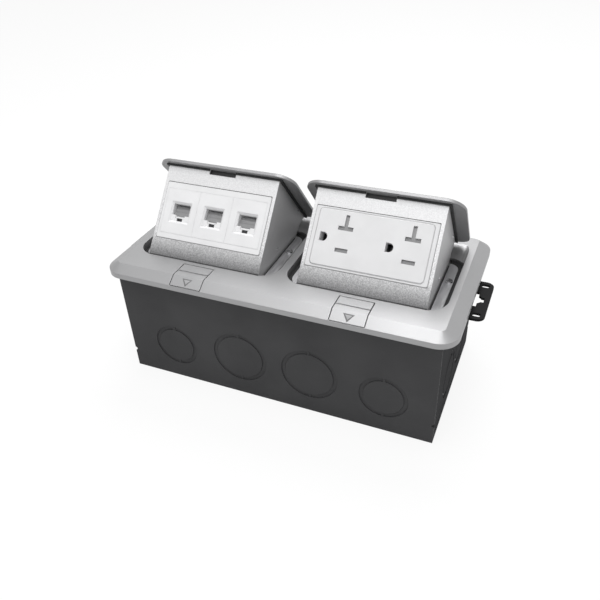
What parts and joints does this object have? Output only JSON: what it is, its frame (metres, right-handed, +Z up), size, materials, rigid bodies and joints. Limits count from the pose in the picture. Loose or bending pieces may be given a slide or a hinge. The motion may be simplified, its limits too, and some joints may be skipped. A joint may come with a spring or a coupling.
{
  "type": "floor socket box",
  "caption": "Recessed floor box with a bevelled metal cover frame and pop-up hinged modules holding data sockets and power outlets, over a folded steel back box with knock-outs.",
  "frame": {"origin": "centre of the back box's underside", "axes": "+X along the long side, towards the power module; +Y to the rear, where the hinges are; +Z up out of the floor"},
  "size_m": [0.2348, 0.112, 0.1306],
  "materials": {
    "cast_frame": "fine satin die-cast metal",
    "lid_metal": "satin cast plate",
    "housing_metal": "silver paint with a coarse metallic grain",
    "box_steel": "dark grey coated sheet steel",
    "ear_steel": "black coated sheet steel",
    "bracket_steel": "zinc-plated sheet",
    "bright_steel": "polished steel",
    "spring_steel": "drawn wire",
    "white_plastic": "smooth moulded plastic",
    "jack_plastic": "moulded plastic",
    "contact_brass": "nickel-plated contact metal",
    "gasket_rubber": "soft rubber"
  },
  "bodies": {
    "box": {"trim_frame": "cast_frame", "back_box": "box_steel", "box_end_left": "box_steel", "box_end_right": "box_steel", "centre_divider": "box_steel", "fixing_tabs": "box_steel", "mounting_ear_left": "ear_steel", "mounting_ear_right": "ear_steel", "flange_gasket": "gasket_rubber", "earth_screw": "bright_steel", "frame_screws": "bright_steel", "left_bay_left_bracket": "bracket_steel", "left_bay_right_bracket": "bracket_steel", "left_bay_bolt_keeper": "bracket_steel", "left_bay_hinge_pin": "bright_steel", "left_bay_spring_rod": "bright_steel", "left_bay_torsion_spring": "spring_steel", "left_bay_release_spring": "spring_steel", "right_bay_left_bracket": "bracket_steel", "right_bay_right_bracket": "bracket_steel", "right_bay_bolt_keeper": "bracket_steel", "right_bay_hinge_pin": "bright_steel", "right_bay_spring_rod": "bright_steel", "right_bay_torsion_spring": "spring_steel", "right_bay_release_spring": "spring_steel"},
    "left_module": {"data_bezel": "white_plastic", "socket_plate_left": "white_plastic", "socket_plate_middle": "white_plastic", "socket_plate_right": "white_plastic", "jack_body_left": "white_plastic", "jack_body_middle": "white_plastic", "jack_body_right": "white_plastic", "jack_contacts": "contact_brass", "left_bay_lid": "lid_metal", "left_bay_housing": "housing_metal", "left_bay_lid_gasket": "gasket_rubber", "left_bay_rear_shroud": "bracket_steel", "left_bay_striker": "bracket_steel"},
    "right_module": {"yoke_screws": "bright_steel", "power_bezel": "white_plastic", "receptacle_face": "white_plastic", "receptacle_body": "jack_plastic", "power_contacts": "contact_brass", "receptacle_yoke": "bracket_steel", "right_bay_lid": "lid_metal", "right_bay_housing": "housing_metal", "right_bay_lid_gasket": "gasket_rubber", "right_bay_rear_shroud": "bracket_steel", "right_bay_striker": "bracket_steel"},
    "left_release": {"left_bay_latch_bolt": "bracket_steel", "left_bay_release_button": "cast_frame"},
    "right_release": {"right_bay_latch_bolt": "bracket_steel", "right_bay_release_button": "cast_frame"}
  },
  "joints": [
    {"name": "left_module_swing", "type": "hinge", "parent": "box", "child": "left_module", "pos_m": [-0.0504, 0.0368, 0.0675], "axis": [1, 0, 0], "range_deg": [0, 50], "stiffness_Nm_per_rad": 0.12, "springref_deg": -137.51, "deforming": ["left_bay_torsion_spring"]},
    {"name": "left_release_slide", "type": "slide", "parent": "box", "child": "left_release", "axis": [0, -1, 0], "range_m": [0, 0.003], "stiffness_N_per_m": 400, "springref_m": -0.004, "deforming": ["left_bay_release_spring"]},
    {"name": "right_module_swing", "type": "hinge", "parent": "box", "child": "right_module", "pos_m": [0.0504, 0.0368, 0.0675], "axis": [1, 0, 0], "range_deg": [0, 50], "stiffness_Nm_per_rad": 0.12, "springref_deg": -137.51, "deforming": ["right_bay_torsion_spring"]},
    {"name": "right_release_slide", "type": "slide", "parent": "box", "child": "right_release", "axis": [0, -1, 0], "range_m": [0, 0.003], "stiffness_N_per_m": 400, "springref_m": -0.004, "deforming": ["right_bay_release_spring"]}
  ]
}
